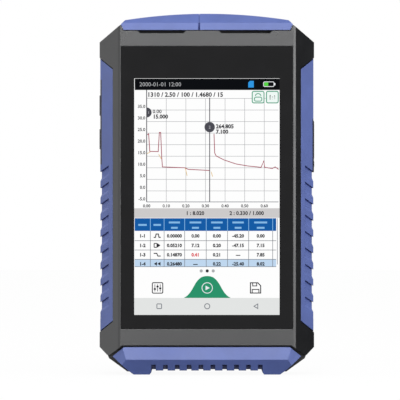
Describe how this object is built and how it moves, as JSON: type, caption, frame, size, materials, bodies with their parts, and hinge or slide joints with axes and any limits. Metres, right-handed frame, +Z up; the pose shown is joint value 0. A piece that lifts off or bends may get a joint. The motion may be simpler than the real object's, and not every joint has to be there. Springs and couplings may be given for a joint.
{
  "type": "handheld cable fault finder",
  "caption": "Handheld optical cable fault finder with a flush upright display, ribbed side grips, hinged port covers, side keys, a socket flap and a fold-out stand.",
  "frame": {"origin": "middle of the bounding box, on the ground under the two feet", "axes": "+X to the right seen from the display side, +Y to the back, +Z up"},
  "size_m": [0.0974, 0.044, 0.1628],
  "materials": {
    "case_grey": "fine moulded texture, satin",
    "grip_blue": "soft-touch moulded rubber",
    "glass_black": "toughened glass with a black printed border",
    "seal_black": "soft foam and rubber",
    "display": "display cell",
    "steel": "plain steel",
    "board_green": "circuit board",
    "module_metal": "plain machined",
    "port_metal": "nickel-plated brass",
    "fibre_yellow": "fibre jacket",
    "battery_foil": "wrapped pouch cells",
    "back_black": "moulded texture",
    "key_black": "silicone key",
    "flap_black": "soft rubber",
    "switch_black": "plain"
  },
  "bodies": {
    "case": {"front_shell": "case_grey", "rear_shell": "case_grey", "left_grip": "grip_blue", "right_grip": "grip_blue", "bottom_bumper": "grip_blue", "cover_glass": "glass_black", "shell_seal": "seal_black", "glass_gasket": "seal_black", "display_panel": "display", "display_bracket": "steel", "bracket_screws": "steel", "case_screws": "steel", "door_screws": "steel", "base_screws": "steel", "adapter_screws": "steel", "left_cover_pin": "steel", "right_cover_pin": "steel", "stand_pins": "steel", "flap_pin": "steel", "shield_can": "steel", "usb_sockets": "steel", "main_board": "board_green", "otdr_module": "module_metal", "meter_detector": "module_metal", "vfl_laser": "module_metal", "otdr_adapter": "port_metal", "meter_adapter": "port_metal", "vfl_adapter": "port_metal", "fibre_pigtail": "fibre_yellow", "battery_pack": "battery_foil", "battery_door": "back_black", "port_tray": "back_black", "bottom_core": "back_black", "key_switches": "switch_black"},
    "left_cover": {"left_port_cover": "grip_blue", "left_cover_seal": "seal_black"},
    "right_cover": {"right_port_cover": "grip_blue", "right_cover_seal": "seal_black"},
    "power_key": {"power_button": "key_black"},
    "function_key": {"function_button": "key_black"},
    "flap": {"side_flap": "flap_black"},
    "stand": {"kickstand": "back_black"}
  },
  "joints": [
    {"name": "left_cover_hinge", "type": "hinge", "parent": "case", "child": "left_cover", "pos_m": [-0.02085, 0.0176, 0.1577], "axis": [-1, 0, 0], "range_deg": [0, 115]},
    {"name": "right_cover_hinge", "type": "hinge", "parent": "case", "child": "right_cover", "pos_m": [0.01735, 0.0176, 0.1577], "axis": [-1, 0, 0], "range_deg": [0, 115]},
    {"name": "power_key_press", "type": "slide", "parent": "case", "child": "power_key", "axis": [1, 0, 0], "range_m": [0, 0.0005], "stiffness_N_per_m": 1500, "springref_m": -0.0003},
    {"name": "function_key_press", "type": "slide", "parent": "case", "child": "function_key", "axis": [1, 0, 0], "range_m": [0, 0.0005], "stiffness_N_per_m": 1500, "springref_m": -0.0003},
    {"name": "flap_hinge", "type": "hinge", "parent": "case", "child": "flap", "pos_m": [0.0473, -0.0029, 0.1138], "axis": [0, -1, 0], "range_deg": [0, 100]},
    {"name": "stand_hinge", "type": "hinge", "parent": "case", "child": "stand", "pos_m": [0, 0.02, 0.134], "axis": [1, 0, 0], "range_deg": [0, 60]}
  ]
}
